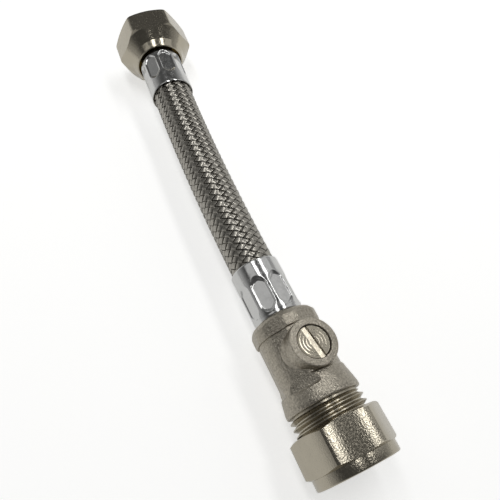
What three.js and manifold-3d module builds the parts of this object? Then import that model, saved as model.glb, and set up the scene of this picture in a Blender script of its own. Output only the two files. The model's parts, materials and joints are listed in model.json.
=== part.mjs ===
// Short flexible tap connector: a braided hose with a swivel tap nut at one end and, at the other,
// a quarter-turn isolating valve with a compression joint for copper pipe.
// Millimetres, +Z up. It lies along X on the flats of its two nuts, pipe end at -X, tap end at +X.
// A station is a distance along the hose line from the mouth of the compression nut.

import * as THREE from 'three';
import { mergeVertices } from 'three/addons/utils/BufferGeometryUtils.js';
import Module from 'manifold-3d';

const wasm = await Module();
wasm.setup();

// Both nuts
const ACROSS_FLATS = 24;
const NUT_CHAMFER_ANGLE = THREE.MathUtils.degToRad(30);

// Parallel pipe thread of half-inch size, as on the valve's inlet and the tap
const THREAD_R = 10.4775;
const THREAD_DEPTH = 1.162;
const THREAD_PITCH = 1.814;
const THREAD_FLANK = 0.605;
const THREAD_CLEARANCE = 0.2;

// Gap between pieces that touch, and the running gap of a pin in its bore
const GAP = 0.3;
const RUNNING_GAP = 0.15;

// Copper pipe and the socket that takes it
const PIPE_R = 7.5;
const PIPE_CLEARANCE = 0.15;
const SOCKET_DEPTH = 9.8;
const CONE_MOUTH_R = 8.95;
const CONE_LENGTH = 1.7;

// Compression nut
const COLLAR_R = 11.75;
const COLLAR_LENGTH = 2.9;
const COLLAR_EDGE = 0.35;
const PIPE_NUT_HEX = 9.9;
const PIPE_NUT_WALL = 2.6;
const OLIVE_POCKET = 0.7;
const MOUTH_FLARE = 0.44;

// Olive
const OLIVE_R = 8.6;
const OLIVE_END_R = 7.85;
const OLIVE_LENGTH = 5.4;
const OLIVE_TAPER = 1.2;
const OLIVE_PLAY = 0.45;

// Valve body
const BODY_START = 7.4;
const SHOULDER = 18.1;
const BODY_END = 43.2;
const SHOULDER_R = 10.75;
const SHOULDER_EDGE = 0.9;
const BODY_R = 9.95;
const BODY_FLATS = 18.9;
const FLARE_END = 24;
const FLARE_FLATS = 20.6;
const COLLAR_START = 38.6;
const BODY_EDGE = 1.1;
const THREAD_RUNOUT = 0.7;
const WATERWAY_R = 5;

// Boss, spindle and their place on the body
const BOSS_STATION = 31.84;
const BOSS_TURN = THREE.MathUtils.degToRad(15);
const BOSS_R = 6.75;
const BOSS_HEIGHT = 11.3;
const BOSS_EDGE = 0.35;
const RECESS_HEIGHT = 8.75;
const RECESS_START = 24.9;
const SPINDLE_R = 4.6;
const SPINDLE_DROP = 0.4;
const SPINDLE_FLANGE_R = 5.4;
const SPINDLE_FLANGE = 0.7;
const THRUST_WASHER = 0.3;
const SLOT_WIDTH = 1.25;
const SLOT_DEPTH = 1.1;
const SLOT_TURN = THREE.MathUtils.degToRad(9);
const O_RING_SECTION_R = 0.48;
const O_RING_HEIGHT = 9.05;
const TANG_WIDTH = 2;
const TANG_LENGTH = 5.4;
const TANG_DEPTH = 2.4;

// Ball and seats
const BALL_R = 6.2;
const BALL_BORE_R = 3.9;
const CHAMBER_R = 6.9;
const SEAT_HOLE_R = 4.3;
const SEAT_CONTACT = THREE.MathUtils.degToRad(50);
const SEAT_NEAR = 3.1;
const SEAT_FAR = 6.6;

// Hose tails: the barbed tubes that the hose is pushed over
const TAIL_WALL = 1;
const TAIL_NECK = 0.9;
const BARB_RISE = 0.35;
const BARB_PITCH = 4;
const BARB_LENGTH = 3;
const BARB_SET_BACK = 2;
const BARB_COUNT = 3;
const TAIL_REACH = 15.5;
const NECK_LENGTH = 1.9;

// Crimped ferrules
const FERRULE_R = 7.5;
const FERRULE_WALL = 0.45;
const FERRULE_LENGTH = 17.4;
const BELL_LENGTH = 2.9;
const BELL_RAMP = 3.2;
const END_RING_LENGTH = 1.7;
const END_RING_RAMP = 0.8;
const END_RING_DROP = 0.1;
const POCKET_COUNT = 8;
const POCKET_DEPTH = 0.65;
const VALVE_POCKET_TURN = THREE.MathUtils.degToRad(-20);
const TAP_POCKET_TURN = THREE.MathUtils.degToRad(-11);
const FERRULE_LIP = 0.7;

// Hose: a rubber liner in a braid of flat wire ribbons, one over and one under
const HOSE_VISIBLE = 75;
const HOSE_BOW = THREE.MathUtils.degToRad(4.9);
const BRAID_PLAY = 0.1;
const BRAID_RELIEF = 0.45;
const BRAID_WALL = 0.35;
const BRAID_CRUSHED_PLAY = 0.4;
const BRAID_CRUSHED_WALL = 0.45;
const BRAID_RIBBONS = 12;
const BRAID_ROW_PITCH = 2.3;
const RIBBON_HALF = 0.3;
const RIBBON_SLANT = 0.01;
const LINER_CRUSHED_WALL = 0.8;
const OPENING_OUT = 4;
const WOVEN_OVERLAP = 2;

// Tap nut, its washer and the flange that it pulls down
const NOSE_OVERLAP = 0.5;
const NOSE_PLAY = 0.7;
const NOSE_LAND = 0.85;
const NOSE_WALL = 1.7;
const NOSE_ANGLE = THREE.MathUtils.degToRad(31);
const TAP_NUT_LENGTH = 15;
const CORNER_CUT_R = 12.65;
const TAIL_FLANGE = 2.2;
const WASHER_THICKNESS = 2;
const WASHER_WIDTH = 4;

// Number of sides on round pieces
const ROUND = 48;
const INNER_ROUND = 32;
const HIDDEN_ROUND = 20;
const THREAD_ROUND = 24;

// Stations worked out from the sizes above
const THREAD_ROOT_R = THREAD_R - THREAD_DEPTH;
const SOCKET_R = PIPE_R + PIPE_CLEARANCE;
const PIPE_NUT_LENGTH = COLLAR_LENGTH + PIPE_NUT_HEX;
const VALVE_FERRULE_START = BODY_END + GAP;
const HOSE_START = VALVE_FERRULE_START + FERRULE_LENGTH;
const HOSE_END = HOSE_START + HOSE_VISIBLE;
const CORNER_R = ACROSS_FLATS / 2 / Math.cos(Math.PI / 6);

// Radii of the pieces that fit inside the ferrule, from its outside inwards
const END_RING_R = FERRULE_R - END_RING_DROP;
const POCKET_FLAT_R = FERRULE_R - POCKET_DEPTH;
const BELL_BORE_R = FERRULE_R - FERRULE_WALL;
const CRUSHED_BORE_R = POCKET_FLAT_R - FERRULE_WALL;
const BRAID_R = BELL_BORE_R - BRAID_PLAY;
const BRAID_LOW_R = BRAID_R - BRAID_RELIEF;
const BRAID_BORE_R = BRAID_LOW_R - BRAID_WALL;
const BRAID_CRUSHED_R = CRUSHED_BORE_R - BRAID_CRUSHED_PLAY;
const LINER_R = BRAID_BORE_R - RUNNING_GAP;
const LINER_CRUSHED_R = BRAID_CRUSHED_R - BRAID_CRUSHED_WALL - RUNNING_GAP;
const LINER_BORE_R = LINER_CRUSHED_R - LINER_CRUSHED_WALL;
const BARB_R = LINER_BORE_R - GAP;
const TAIL_R = BARB_R - BARB_RISE;
const TAIL_BORE_R = TAIL_R - TAIL_WALL;
const TAIL_NECK_R = TAIL_R + TAIL_NECK;
const FERRULE_LIP_R = TAIL_NECK_R + GAP;
const NOSE_HOLE_R = END_RING_R + NOSE_PLAY;
const TAIL_FLANGE_R = THREAD_ROOT_R - GAP;

// Materials
function finish(color, roughness, metalness) {
  return new THREE.MeshStandardMaterial({ color, roughness, metalness });
}
const nickel = () => finish(0xb3ad9d, 0.28, 1);
const mattNickel = () => finish(0x9b968b, 0.5, 1);
const stainless = () => finish(0xc2c2c0, 0.18, 1);
const brass = () => finish(0xb5964f, 0.35, 1);
const chrome = () => finish(0xcfd2d4, 0.1, 1);
const rubber = () => finish(0x232323, 0.8, 0);
const ptfe = () => finish(0xeceae4, 0.6, 0);
const fibre = () => finish(0x2b2a28, 0.75, 0);

// A closed mesh as a solid, with its faces pointing out
function solid(geometry) {
  const bare = geometry.index ? geometry.toNonIndexed() : geometry.clone();
  bare.deleteAttribute('normal');
  bare.deleteAttribute('uv');
  const merged = mergeVertices(bare, 1e-4);
  const corners = merged.attributes.position.array;
  const index = merged.index.array;
  const triangles = [];
  for (let i = 0; i < index.length; i += 3) {
    const [a, b, c] = [index[i], index[i + 1], index[i + 2]];
    if (a !== b && b !== c && c !== a) triangles.push(a, b, c);
  }
  if (signedVolume(corners, triangles) < 0) triangles.reverse();
  return new wasm.Manifold(new wasm.Mesh({
    numProp: 3,
    vertProperties: Float32Array.from(corners),
    triVerts: Uint32Array.from(triangles),
  }));
}

function signedVolume(corners, triangles) {
  const [a, b, c] = [new THREE.Vector3(), new THREE.Vector3(), new THREE.Vector3()];
  let volume = 0;
  for (let i = 0; i < triangles.length; i += 3) {
    a.fromArray(corners, triangles[i] * 3);
    b.fromArray(corners, triangles[i + 1] * 3);
    c.fromArray(corners, triangles[i + 2] * 3);
    volume += a.dot(b.cross(c)) / 6;
  }
  return volume;
}

function geometryOf(manifold) {
  const mesh = manifold.getMesh();
  const geometry = new THREE.BufferGeometry();
  geometry.setAttribute('position', new THREE.BufferAttribute(Float32Array.from(mesh.vertProperties), 3));
  geometry.setIndex(new THREE.BufferAttribute(Uint32Array.from(mesh.triVerts), 1));
  geometry.computeVertexNormals();
  return geometry;
}

function named(name, shape, material) {
  const mesh = new THREE.Mesh(geometryOf(shape.isBufferGeometry ? solid(shape) : shape), material);
  mesh.name = name;
  return mesh;
}

// A turned shape about the X axis from [station, radius] points, closed on itself or on the axis
function turned(points, sides = ROUND) {
  const closesOnAxis = points[0][1] === 0;
  const outline = closesOnAxis ? points : [...points, points[0]];
  const profile = outline.map(([x, r]) => new THREE.Vector2(r, x));
  return new THREE.LatheGeometry(profile, sides).rotateZ(-Math.PI / 2);
}

// A solid turned shape from points that run between its two end faces
function bar(points, sides = ROUND) {
  const [first, last] = [points[0], points[points.length - 1]];
  return turned([[first[0], 0], ...points, [last[0], 0]], sides);
}

// An even-sided prism along X, with a flat square to +Z
function prism(sides, acrossFlats, from, to) {
  const cornerR = acrossFlats / 2 / Math.cos(Math.PI / sides);
  const shape = new THREE.CylinderGeometry(cornerR, cornerR, to - from, sides);
  shape.rotateZ(-Math.PI / 2).translate((from + to) / 2, 0, 0);
  return shape.rotateX(Math.PI / sides);
}

// A box between two corners
function block(low, high) {
  const size = high.map((value, i) => value - low[i]);
  const middle = high.map((value, i) => (value + low[i]) / 2);
  return new THREE.BoxGeometry(...size).translate(...middle);
}

// A shape turned about X is stood on the axis of the boss: its X becomes the height above the hose line
function onBoss(geometry) {
  return geometry.rotateY(-Math.PI / 2).rotateX(BOSS_TURN).translate(BOSS_STATION, 0, 0);
}

// The end chamfers of a nut: a turned envelope that takes the corners off both end faces
function nutEnvelope(from, to) {
  const flatR = ACROSS_FLATS / 2;
  const run = (CORNER_R - flatR) * Math.tan(NUT_CHAMFER_ANGLE);
  return bar([[from, flatR], [from + run, CORNER_R], [to - run, CORNER_R], [to, flatR]]);
}

function hexagon(from, to) {
  return solid(prism(6, ACROSS_FLATS, from, to)).intersect(solid(nutEnvelope(from, to)));
}

// The threaded core as one spiral strip: root, flank, crest and flank for each turn
function spiralCore(from, to) {
  const crest = THREAD_PITCH / 2 - THREAD_FLANK;
  const stops = [[0, THREAD_ROOT_R], [crest, THREAD_ROOT_R], [crest + THREAD_FLANK, THREAD_R],
    [2 * crest + THREAD_FLANK, THREAD_R]];
  const turns = Math.ceil((to - from) / THREAD_PITCH) + 3;
  const start = from - 2 * THREAD_PITCH;
  const rows = turns * stops.length;
  const positions = [];
  const corner = (row, side) => {
    const [along, radius] = stops[row % stops.length];
    const lead = Math.floor(row / stops.length) + side / THREAD_ROUND;
    const angle = side / THREAD_ROUND * 2 * Math.PI;
    return [start + along + lead * THREAD_PITCH, radius * Math.cos(angle), radius * Math.sin(angle)];
  };
  const face = (...points) => points.forEach((point) => positions.push(...point));
  for (let row = 0; row < rows; row++) {
    for (let side = 0; side < THREAD_ROUND; side++) {
      const near = corner(row, side);
      const far = corner(row + 1, side + 1);
      face(near, corner(row, side + 1), far);
      face(near, far, corner(row + 1, side));
    }
  }
  closeSpiral(face, corner, 0, stops.length, start - THREAD_PITCH, false);
  closeSpiral(face, corner, rows, rows + stops.length, start + (turns + 2) * THREAD_PITCH, true);
  const geometry = new THREE.BufferGeometry();
  return geometry.setAttribute('position', new THREE.Float32BufferAttribute(positions, 3));
}

// A fan from the axis to one end loop of the spiral strip: once round, and back along the seam
function closeSpiral(face, corner, row, seamRow, apex, far) {
  const loop = [];
  for (let side = 0; side <= THREAD_ROUND; side++) loop.push(corner(row, side));
  for (let step = seamRow - 1; step > row; step--) loop.push(corner(step, 0));
  loop.forEach((point, i) => {
    const next = loop[(i + 1) % loop.length];
    if (far) face([apex, 0, 0], point, next);
    else face([apex, 0, 0], next, point);
  });
}

// Compression nut: hexagon with a round collar, pipe hole, cone on the olive and threaded bore
function compressionNut() {
  const outside = hexagon(COLLAR_LENGTH, PIPE_NUT_LENGTH).add(solid(bar([
    [0, COLLAR_R - COLLAR_EDGE],
    [COLLAR_EDGE, COLLAR_R],
    [COLLAR_LENGTH + GAP, COLLAR_R],
  ])));
  const boreR = THREAD_R + THREAD_CLEARANCE;
  const coneEnd = PIPE_NUT_WALL + CONE_MOUTH_R - SOCKET_R;
  const threadStart = coneEnd + OLIVE_POCKET;
  const inside = bar([
    [-1, SOCKET_R],
    [PIPE_NUT_WALL, SOCKET_R],
    [coneEnd, CONE_MOUTH_R],
    [threadStart, CONE_MOUTH_R],
    [threadStart, boreR],
    [PIPE_NUT_LENGTH - MOUTH_FLARE, boreR],
    [PIPE_NUT_LENGTH + MOUTH_FLARE, boreR + 2 * MOUTH_FLARE],
  ]);
  return outside.subtract(solid(inside));
}

// Olive: a soft brass ring with a taper at each end
function olive() {
  const start = PIPE_NUT_WALL + OLIVE_PLAY;
  const end = start + OLIVE_LENGTH;
  return turned([
    [start, SOCKET_R],
    [start, OLIVE_END_R],
    [start + OLIVE_TAPER, OLIVE_R],
    [end - 2 * OLIVE_TAPER, OLIVE_R],
    [end, OLIVE_END_R],
    [end, SOCKET_R],
  ], HIDDEN_ROUND);
}

// Valve body: threaded inlet, flared shoulder, eight-sided forging and the collar at the hose end
function valveBody() {
  const flareR = FLARE_FLATS / 2 / Math.cos(Math.PI / 8);
  const bodyCornerR = BODY_FLATS / 2 / Math.cos(Math.PI / 8);
  const flare = new THREE.CylinderGeometry(bodyCornerR, flareR, FLARE_END - SHOULDER, 8);
  flare.rotateZ(-Math.PI / 2).translate((SHOULDER + FLARE_END) / 2, 0, 0).rotateX(BOSS_TURN);
  const forging = solid(prism(8, BODY_FLATS, FLARE_END - GAP, BODY_END).rotateX(BOSS_TURN + Math.PI / 8))
    .add(solid(flare))
    .intersect(solid(bar([
      [SHOULDER, SHOULDER_R - SHOULDER_EDGE / 3],
      [SHOULDER + SHOULDER_EDGE / 3, SHOULDER_R],
      [SHOULDER + SHOULDER_EDGE, SHOULDER_R],
      [FLARE_END, BODY_R],
      [BODY_END - BODY_EDGE, BODY_R],
      [BODY_END, BODY_R - BODY_EDGE],
    ])));
  const recess = block(
    [-(BOSS_STATION - RECESS_START), -BODY_R * 2, RECESS_HEIGHT],
    [COLLAR_START - BOSS_STATION, BODY_R * 2, BOSS_HEIGHT * 2],
  ).rotateX(BOSS_TURN).translate(BOSS_STATION, 0, 0);
  const boss = onBoss(bar([
    [BALL_R, BOSS_R],
    [BOSS_HEIGHT - BOSS_EDGE, BOSS_R],
    [BOSS_HEIGHT, BOSS_R - BOSS_EDGE],
  ]));
  return forging
    .subtract(solid(recess))
    .add(solid(boss))
    .add(inletThread())
    .subtract(solid(waterway()))
    .subtract(solid(spindleBore()));
}

// Male thread, with a chamfered start and a short runout at the shoulder
function inletThread() {
  const end = SHOULDER + GAP;
  const envelope = bar([
    [BODY_START, THREAD_ROOT_R],
    [BODY_START + THREAD_DEPTH / 2, THREAD_R],
    [SHOULDER - THREAD_RUNOUT - THREAD_DEPTH / 2, THREAD_R],
    [SHOULDER - THREAD_RUNOUT, THREAD_ROOT_R],
    [end, THREAD_ROOT_R],
  ], THREAD_ROUND);
  const core = solid(spiralCore(BODY_START, end));
  return core.intersect(solid(envelope));
}

// Pipe socket with its stop, the waterway, and the chamber that is open to the hose end
function waterway() {
  const slope = (CONE_MOUTH_R - SOCKET_R) / CONE_LENGTH;
  const socketEnd = BODY_START + SOCKET_DEPTH;
  const chamberStart = BOSS_STATION - SEAT_FAR - GAP;
  return bar([
    [BODY_START - 1, CONE_MOUTH_R + slope],
    [BODY_START + CONE_LENGTH, SOCKET_R],
    [socketEnd, SOCKET_R],
    [socketEnd, WATERWAY_R],
    [chamberStart, WATERWAY_R],
    [chamberStart, CHAMBER_R],
    [BODY_END + 1, CHAMBER_R],
  ], INNER_ROUND);
}

// Heights of the spindle's flange and thrust washer above the hose line
const FLANGE_BASE = CHAMBER_R + RUNNING_GAP;
const FLANGE_TOP = FLANGE_BASE + SPINDLE_FLANGE;
const WASHER_TOP = FLANGE_TOP + RUNNING_GAP + THRUST_WASHER;

function spindleBore() {
  const boreR = SPINDLE_R + RUNNING_GAP;
  const pocketR = SPINDLE_FLANGE_R + RUNNING_GAP;
  return onBoss(bar([
    [0, pocketR],
    [WASHER_TOP + RUNNING_GAP, pocketR],
    [WASHER_TOP + RUNNING_GAP, boreR],
    [BOSS_HEIGHT + 1, boreR],
  ], INNER_ROUND));
}

// Spindle: slotted head, groove for the O-ring, flange that keeps it in, and tang in the ball
function spindle() {
  const headTop = BOSS_HEIGHT - SPINDLE_DROP;
  const grooveR = SPINDLE_R - 2 * O_RING_SECTION_R;
  const grooveHalf = O_RING_SECTION_R + RUNNING_GAP;
  const body = solid(onBoss(bar([
    [FLANGE_BASE, SPINDLE_FLANGE_R],
    [FLANGE_TOP, SPINDLE_FLANGE_R],
    [FLANGE_TOP, SPINDLE_R],
    [O_RING_HEIGHT - grooveHalf, SPINDLE_R],
    [O_RING_HEIGHT - grooveHalf, grooveR - RUNNING_GAP],
    [O_RING_HEIGHT + grooveHalf, grooveR - RUNNING_GAP],
    [O_RING_HEIGHT + grooveHalf, SPINDLE_R],
    [headTop, SPINDLE_R],
  ], INNER_ROUND)));
  const slot = block(
    [headTop - SLOT_DEPTH, -SLOT_WIDTH / 2, -BOSS_R],
    [headTop + 1, SLOT_WIDTH / 2, BOSS_R],
  );
  const tang = block(
    [FLANGE_BASE - TANG_DEPTH, -TANG_WIDTH / 2, -TANG_LENGTH / 2],
    [FLANGE_BASE + GAP, TANG_WIDTH / 2, TANG_LENGTH / 2],
  );
  return body.subtract(solid(onBoss(slot.rotateX(SLOT_TURN)))).add(solid(onBoss(tang.rotateX(SLOT_TURN))));
}

function thrustWasher() {
  const low = FLANGE_TOP + RUNNING_GAP;
  const hole = SPINDLE_R + RUNNING_GAP;
  return onBoss(turned([
    [low, hole],
    [low, SPINDLE_FLANGE_R],
    [WASHER_TOP, SPINDLE_FLANGE_R],
    [WASHER_TOP, hole],
  ], HIDDEN_ROUND));
}

function oRing() {
  const ringR = SPINDLE_R - O_RING_SECTION_R;
  const ring = new THREE.TorusGeometry(ringR, O_RING_SECTION_R, 6, HIDDEN_ROUND);
  return onBoss(ring.rotateY(Math.PI / 2).translate(O_RING_HEIGHT, 0, 0));
}

// Ball with its bore in line with the spindle's slot, and the groove that the tang turns
function ball() {
  const sphere = new THREE.SphereGeometry(BALL_R, HIDDEN_ROUND, HIDDEN_ROUND / 2);
  const bore = new THREE.CylinderGeometry(BALL_BORE_R, BALL_BORE_R, BALL_R * 3, HIDDEN_ROUND);
  bore.rotateX(Math.PI / 2).rotateX(SLOT_TURN);
  const groove = block(
    [FLANGE_BASE - TANG_DEPTH - GAP, -TANG_WIDTH / 2 - RUNNING_GAP, -BALL_R],
    [BALL_R * 2, TANG_WIDTH / 2 + RUNNING_GAP, BALL_R],
  ).rotateX(SLOT_TURN);
  return solid(onBoss(sphere)).subtract(solid(onBoss(bore))).subtract(solid(onBoss(groove)));
}

// Seat ring on one side of the ball, its face a cone that touches the ball on one circle
function seat(side) {
  const reach = BALL_R + GAP;
  const touchX = reach * Math.cos(SEAT_CONTACT);
  const touchR = reach * Math.sin(SEAT_CONTACT);
  const nearR = touchR + (touchX - SEAT_NEAR) / Math.tan(SEAT_CONTACT);
  const holeX = touchX + (touchR - SEAT_HOLE_R) * Math.tan(SEAT_CONTACT);
  const outerR = CHAMBER_R - GAP;
  return turned([
    [SEAT_NEAR, outerR],
    [SEAT_NEAR, nearR],
    [holeX, SEAT_HOLE_R],
    [SEAT_FAR, SEAT_HOLE_R],
    [SEAT_FAR, outerR],
  ].map(([x, r]) => [BOSS_STATION + side * x, r]), HIDDEN_ROUND);
}

// Barbs along a hose tail, from its neck to its free end, stepping in the direction of side
function barbs(neckEnd, side) {
  const points = [[neckEnd, TAIL_R]];
  for (let i = 0; i < BARB_COUNT; i++) {
    const x = neckEnd + side * (BARB_SET_BACK + i * BARB_PITCH);
    points.push([x, TAIL_R], [x, BARB_R], [x + side * BARB_LENGTH, TAIL_R]);
  }
  return points;
}

// Tail of the valve: a plug that closes the chamber on the outlet seat, and the barbed tube
function valveTail() {
  const plugStart = BOSS_STATION + SEAT_FAR + GAP;
  const neckEnd = BODY_END + NECK_LENGTH;
  return turned([
    [plugStart, TAIL_BORE_R],
    [plugStart, CHAMBER_R - GAP],
    [BODY_END - GAP, CHAMBER_R - GAP],
    [BODY_END - GAP, TAIL_NECK_R],
    [neckEnd, TAIL_NECK_R],
    ...barbs(neckEnd, 1),
    [BODY_END + TAIL_REACH, TAIL_R],
    [BODY_END + TAIL_REACH, TAIL_BORE_R],
  ], HIDDEN_ROUND);
}

// Ferrule from its hooked end at zero to its bell, with pockets pressed all round between the two
function ferrule(pocketTurn) {
  const bellStart = FERRULE_LENGTH - BELL_LENGTH;
  let sleeve = solid(bar([
    [0, END_RING_R - 3 * END_RING_DROP],
    [3 * END_RING_DROP, END_RING_R],
    [END_RING_LENGTH - END_RING_DROP, END_RING_R],
    [END_RING_LENGTH, FERRULE_R],
    [FERRULE_LENGTH - END_RING_DROP, FERRULE_R],
    [FERRULE_LENGTH, FERRULE_R - END_RING_DROP],
  ]));
  const inside = bar([
    [-1, FERRULE_LIP_R],
    [FERRULE_LIP, FERRULE_LIP_R],
    [FERRULE_LIP, CRUSHED_BORE_R],
    [bellStart - BELL_RAMP, CRUSHED_BORE_R],
    [bellStart, BELL_BORE_R],
    [FERRULE_LENGTH + 1, BELL_BORE_R],
  ], HIDDEN_ROUND * 2);
  for (let i = 0; i < POCKET_COUNT; i++) {
    const turn = pocketTurn + i / POCKET_COUNT * 2 * Math.PI;
    sleeve = sleeve.subtract(solid(pocket(END_RING_LENGTH, bellStart).rotateX(turn)));
  }
  return sleeve.subtract(solid(inside));
}

// One pressed flat, with a short ramp at the ring and a long one at the bell
function pocket(from, to) {
  const top = FERRULE_R + 1;
  const overrun = (top - POCKET_FLAT_R) / POCKET_DEPTH;
  const halfWidth = top * Math.tan(Math.PI / POCKET_COUNT);
  const ringFoot = from + END_RING_RAMP;
  const bellFoot = to - BELL_RAMP;
  const side = new THREE.Shape([
    new THREE.Vector2(ringFoot, POCKET_FLAT_R),
    new THREE.Vector2(bellFoot, POCKET_FLAT_R),
    new THREE.Vector2(bellFoot + BELL_RAMP * overrun, top),
    new THREE.Vector2(ringFoot - END_RING_RAMP * overrun, top),
  ]);
  const press = new THREE.ExtrudeGeometry(side, { depth: 2 * halfWidth, bevelEnabled: false });
  return press.translate(0, 0, -halfWidth).rotateX(Math.PI / 2);
}

// The bow of the hose: stations between the two bells lie on an arc, and those past it run straight on
const BOW_R = HOSE_VISIBLE / HOSE_BOW;

function bowed(geometry) {
  const place = geometry.attributes.position;
  for (let i = 0; i < place.count; i++) {
    const x = place.getX(i);
    const y = place.getY(i);
    const run = THREE.MathUtils.clamp(x - HOSE_START, 0, HOSE_VISIBLE);
    const past = Math.max(x - HOSE_END, 0);
    const angle = run / BOW_R;
    const base = Math.min(x, HOSE_START);
    place.setX(i, base + (BOW_R + y) * Math.sin(angle) + past * Math.cos(angle));
    place.setY(i, (BOW_R + y) * Math.cos(angle) - BOW_R - past * Math.sin(angle));
  }
  return geometry;
}

// Points along the hose, so that a long face can follow the bow
function alongHose(radius) {
  const steps = 6;
  const points = [];
  for (let i = 0; i <= steps; i++) points.push([HOSE_START + HOSE_VISIBLE * i / steps, radius]);
  return points;
}

// Where the braid and the liner are crushed, and where they open out again inside each bell
const BELL_BACK = HOSE_START - BELL_LENGTH - BELL_RAMP;
const BELL_FRONT = HOSE_END + BELL_LENGTH + BELL_RAMP;
const HOSE_BACK = VALVE_FERRULE_START + NECK_LENGTH;
const HOSE_FRONT = HOSE_END + FERRULE_LENGTH - NECK_LENGTH;

function liner() {
  return bowed(turned([
    [HOSE_BACK, LINER_BORE_R],
    [HOSE_BACK, LINER_CRUSHED_R],
    [BELL_BACK, LINER_CRUSHED_R],
    [BELL_BACK + OPENING_OUT, LINER_R],
    ...alongHose(LINER_R),
    [BELL_FRONT - OPENING_OUT, LINER_R],
    [BELL_FRONT, LINER_CRUSHED_R],
    [HOSE_FRONT, LINER_CRUSHED_R],
    [HOSE_FRONT, LINER_BORE_R],
    ...alongHose(LINER_BORE_R).reverse(),
  ], HIDDEN_ROUND));
}

// Stations between which the braid is woven; past them it is crushed smooth under the pressed flats
const WOVEN_START = HOSE_START - WOVEN_OVERLAP;
const WOVEN_END = HOSE_END + WOVEN_OVERLAP;

// One line of braid points along the hose: across each ribbon it is high, and low in the gap after it
function braidLine(line, pitch) {
  const start = WOVEN_START + (line % 2 === 0 ? 0 : pitch / 2);
  const stops = [[-RIBBON_HALF, BRAID_R], [RIBBON_HALF, BRAID_R], [0.5, BRAID_LOW_R]];
  const points = [];
  for (let x = start - pitch; x < WOVEN_END + pitch; x += pitch) {
    stops.forEach(([share, radius]) => points.push([x + share * pitch, radius]));
  }
  return [
    [HOSE_BACK, BRAID_CRUSHED_R],
    [BELL_BACK, BRAID_CRUSHED_R],
    [WOVEN_START, BRAID_LOW_R],
    ...points.filter(([x]) => x > WOVEN_START + pitch / 10 && x < WOVEN_END - pitch / 10),
    [WOVEN_END, BRAID_LOW_R],
    [BELL_FRONT, BRAID_CRUSHED_R],
    [HOSE_FRONT, BRAID_CRUSHED_R],
  ];
}

// The triangles between two neighbouring lines, taken in order of station. The shift of the second
// line's stations makes the gaps between ribbons run on a slant.
function zipLines(left, right, shift, face) {
  let i = 0;
  let j = 0;
  while (i < left.length - 1 || j < right.length - 1) {
    const nextLeft = i < left.length - 1 ? left[i + 1][0] : Infinity;
    const nextRight = j < right.length - 1 ? right[j + 1][0] + shift : Infinity;
    const [a, b] = [left[i], right[j]];
    if (nextLeft <= nextRight) {
      i += 1;
      face(a, b, left[i]);
    } else {
      j += 1;
      face(a, b, right[j]);
    }
  }
}

// A bar with the woven relief on it: ribbons that lean one way and the other in turn round the hose
function wovenBar() {
  const lines = BRAID_RIBBONS * 2;
  const pitch = (WOVEN_END - WOVEN_START) / Math.round((WOVEN_END - WOVEN_START) / BRAID_ROW_PITCH);
  const positions = [];
  const face = (...points) => points.forEach((point) => positions.push(...point));
  const turn = (points, line) => {
    const angle = line / lines * 2 * Math.PI;
    return points.map(([x, r]) => [x, r * Math.cos(angle), r * Math.sin(angle)]);
  };
  for (let line = 0; line < lines; line++) {
    const next = (line + 1) % lines;
    const left = turn(braidLine(line, pitch), line);
    const right = turn(braidLine(next, pitch), next);
    zipLines(left, right, (line % 2 === 0 ? -1 : 1) * (RIBBON_HALF + RIBBON_SLANT) * pitch, face);
    face([HOSE_BACK, 0, 0], right[0], left[0]);
    face([HOSE_FRONT, 0, 0], left[left.length - 1], right[right.length - 1]);
  }
  const geometry = new THREE.BufferGeometry();
  return geometry.setAttribute('position', new THREE.Float32BufferAttribute(positions, 3));
}

// Braid: woven where it shows and just under both bells
function braid() {
  const crushedBoreR = BRAID_CRUSHED_R - BRAID_CRUSHED_WALL;
  const bore = bar([
    [HOSE_BACK - 1, crushedBoreR],
    [BELL_BACK, crushedBoreR],
    [WOVEN_START, BRAID_BORE_R],
    ...alongHose(BRAID_BORE_R),
    [WOVEN_END, BRAID_BORE_R],
    [BELL_FRONT, crushedBoreR],
    [HOSE_FRONT + 1, crushedBoreR],
  ], HIDDEN_ROUND);
  return solid(bowed(wovenBar())).subtract(solid(bowed(bore)));
}

// Places on the tap end, measured along its own line from the end of the visible hose
const NUT_NOSE = FERRULE_LENGTH - NOSE_OVERLAP;
const NOSE_R = NOSE_HOLE_R + NOSE_LAND;
const TAP_HEX_END = NUT_NOSE + TAP_NUT_LENGTH;
const NUT_SEAT = NUT_NOSE + (THREAD_ROOT_R + NOSE_WALL - NOSE_R) / Math.tan(NOSE_ANGLE);
const FLANGE_START = NUT_SEAT + GAP;
const FLANGE_END = FLANGE_START + TAIL_FLANGE;
const WASHER_START = FLANGE_END + GAP;
const WASHER_END = WASHER_START + WASHER_THICKNESS;

// Tailpiece: barbed tube with the flange that the nut pulls against the tap
function tapTail() {
  const neckStart = FERRULE_LENGTH - NECK_LENGTH + GAP;
  return turned([
    [FERRULE_LENGTH - TAIL_REACH, TAIL_BORE_R],
    [FERRULE_LENGTH - TAIL_REACH, TAIL_R],
    ...barbs(neckStart, -1).reverse(),
    [neckStart, TAIL_NECK_R],
    [FLANGE_START, TAIL_NECK_R],
    [FLANGE_START, TAIL_FLANGE_R],
    [FLANGE_END, TAIL_FLANGE_R],
    [FLANGE_END, TAIL_BORE_R],
  ], HIDDEN_ROUND);
}

function sealingWasher() {
  const holeR = TAIL_FLANGE_R - WASHER_WIDTH;
  return turned([
    [WASHER_START, holeR],
    [WASHER_START, TAIL_FLANGE_R],
    [WASHER_END, TAIL_FLANGE_R],
    [WASHER_END, holeR],
  ], INNER_ROUND);
}

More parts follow.
